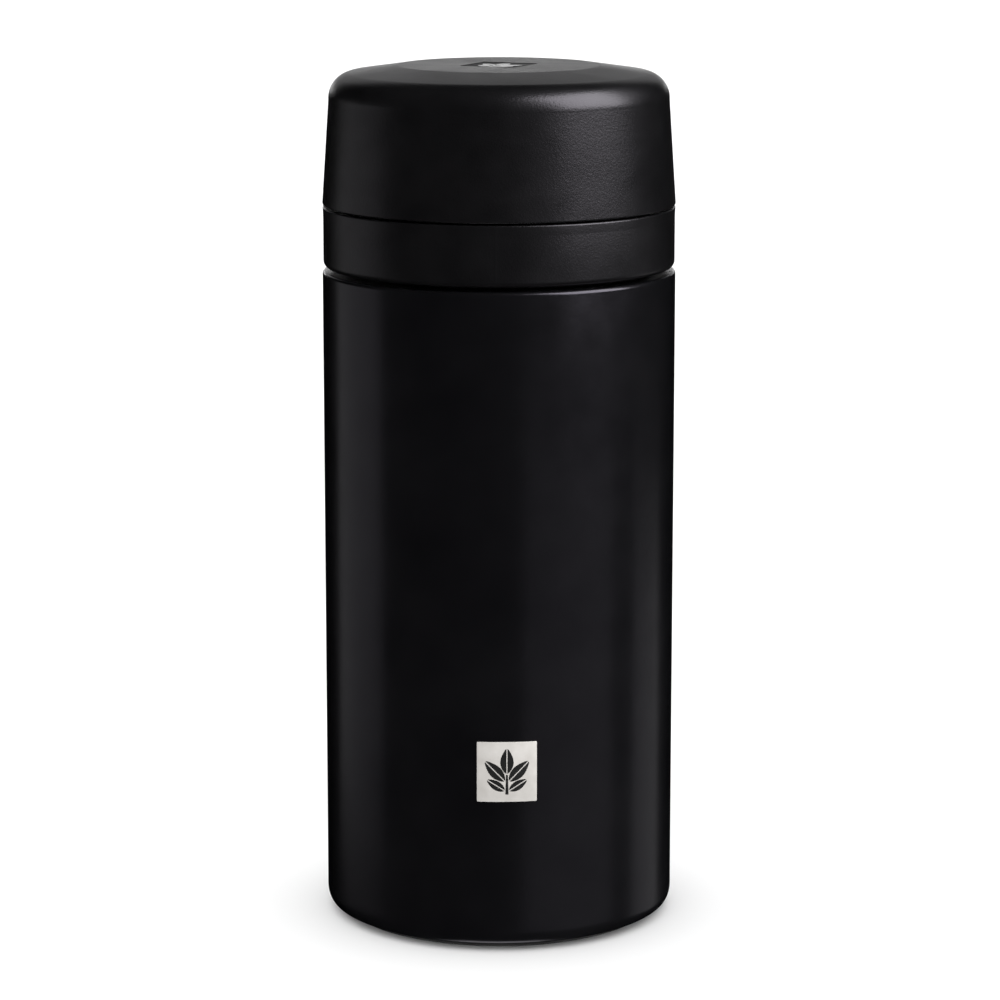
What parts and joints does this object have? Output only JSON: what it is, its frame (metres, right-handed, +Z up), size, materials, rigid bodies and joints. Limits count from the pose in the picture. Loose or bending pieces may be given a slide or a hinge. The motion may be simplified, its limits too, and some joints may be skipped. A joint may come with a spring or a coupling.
{
  "type": "vacuum flask",
  "caption": "Slim double-walled vacuum flask with a screw-on drinking collar, a pull-out tea strainer and a screw cap.",
  "frame": {"origin": "centre of the foot, on the surface that the flask stands on", "axes": "+Z up along the flask's axis; -Y is the front, where the badge is; +X to the right as seen from the front"},
  "size_m": [0.073, 0.0733, 0.1781],
  "materials": {
    "powder_coat": "matt black powder coat with a fine grain",
    "matt_plastic": "matt black polypropylene with a fine spark-eroded texture",
    "inner_plastic": "black polypropylene, satin where the mould was smooth",
    "silicone": "matt black silicone",
    "clear_silicone": "milky translucent food-grade silicone",
    "steel": "stainless steel, satin, with fine turning marks",
    "copper_foil": "bright crinkled copper foil",
    "solder_glass": "fused dark grey-green glass",
    "getter_metal": "dull sintered grey metal",
    "foam": "off-white closed-cell foam",
    "badge_metal": "pale satin nickel silver with a black enamel leaf mark",
    "badge_black": "gloss black with a pale leaf mark"
  },
  "bodies": {
    "flask": {"outer_shell": "powder_coat", "inner_bottle": "steel", "radiation_foil": "copper_foil", "outer_base": "steel", "sealing_bead": "solder_glass", "getter_bracket": "steel", "getter_pellet": "getter_metal", "base_cover": "steel", "foot_ring": "silicone", "badge": "badge_metal"},
    "collar_seal": {"collar_gasket": "clear_silicone"},
    "collar": {"collar_sleeve": "matt_plastic", "collar_core": "inner_plastic"},
    "strainer": {"strainer_basket": "steel", "strainer_seal": "clear_silicone"},
    "cap_seal": {"cap_gasket": "clear_silicone"},
    "cap": {"cap_shell": "matt_plastic", "cap_liner": "inner_plastic", "cap_insulation": "foam", "cap_badge": "badge_black"}
  },
  "joints": [
    {"name": "collar_lift", "type": "slide", "parent": "flask", "child": "collar_seal", "axis": [0, 0, 1], "range_m": [0, 0.056]},
    {"name": "collar_turn", "type": "hinge", "parent": "collar_seal", "child": "collar", "pos_m": [0, 0, 0.1361], "axis": [0, 0, 1], "range_deg": [0, 2521]},
    {"name": "strainer_drop", "type": "slide", "parent": "collar", "child": "strainer", "axis": [0, 0, -1], "range_m": [0, 0.025]},
    {"name": "cap_lift", "type": "slide", "parent": "collar", "child": "cap_seal", "axis": [0, 0, 1], "range_m": [0, 0.024]},
    {"name": "cap_turn", "type": "hinge", "parent": "cap_seal", "child": "cap", "pos_m": [0, 0, 0.14972], "axis": [0, 0, 1], "range_deg": [0, 1081]}
  ],
  "couplings": [
    {"joint": "collar_turn", "follows": "collar_lift", "rad_per_m": 785.4},
    {"joint": "cap_turn", "follows": "cap_lift", "rad_per_m": 785.4}
  ]
}
